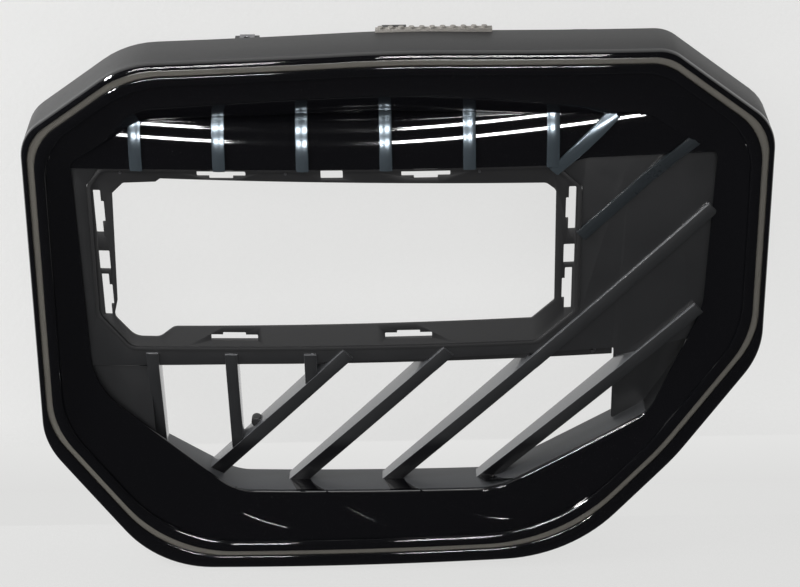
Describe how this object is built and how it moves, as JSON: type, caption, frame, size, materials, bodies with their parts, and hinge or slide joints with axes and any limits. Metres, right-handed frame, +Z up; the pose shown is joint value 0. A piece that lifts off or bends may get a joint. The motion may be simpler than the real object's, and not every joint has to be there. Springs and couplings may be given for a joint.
{
  "type": "front grille",
  "caption": "Octagonal front grille: gloss ring with an inlay strip, a ribbed visor, a number-plate frame with clip slots and a slatted lower air opening.",
  "frame": {"origin": "centre of the locating hole in the middle top tab, on the tab's upper face", "axes": "+Z up, the grille's front faces -Y, +X across the car to the viewer's right when facing the grille"},
  "size_m": [0.8241, 0.087, 0.6699],
  "materials": {
    "grained_plastic": "fine grained matte black moulding",
    "gloss_black": "high gloss piano black",
    "taupe_inlay": "smooth taupe grey paint",
    "satin_panel": "satin black",
    "matte_frame": "matte black with a fine grain",
    "satin_rib": "satin blue-grey paint",
    "satin_slat": "satin dark grey",
    "seal_foam": "pale foam seal with a notched top",
    "buffer_rubber": "soft black rubber",
    "spring_steel": "phosphated spring steel",
    "screw_steel": "black zinc plated steel"
  },
  "bodies": {
    "root": {"carrier_frame": "grained_plastic", "top_tabs": "grained_plastic", "surround_ring": "gloss_black", "inlay_strip": "taupe_inlay", "inner_bezel": "gloss_black", "visor_panel": "gloss_black", "flat_panel": "satin_panel", "plate_frame": "matte_frame", "visor_rib_1": "satin_rib", "visor_rib_2": "satin_rib", "visor_rib_3": "satin_rib", "visor_rib_4": "satin_rib", "visor_rib_5": "satin_rib", "visor_rib_6": "satin_rib", "diagonal_rib_1": "satin_rib", "diagonal_rib_2": "satin_slat", "slat_a": "satin_slat", "slat_b": "satin_slat", "slat_c": "satin_slat", "slat_d": "satin_slat", "bar_1": "satin_slat", "bar_2": "satin_slat", "bar_3": "satin_slat", "crossbar": "matte_frame", "lower_sill": "satin_slat", "left_fill_panel": "satin_panel", "right_fill_panel": "satin_panel", "top_seal": "seal_foam", "corner_buffers": "buffer_rubber", "spring_nuts": "spring_steel", "ring_screws": "screw_steel", "panel_screws": "screw_steel"}
  },
  "joints": []
}
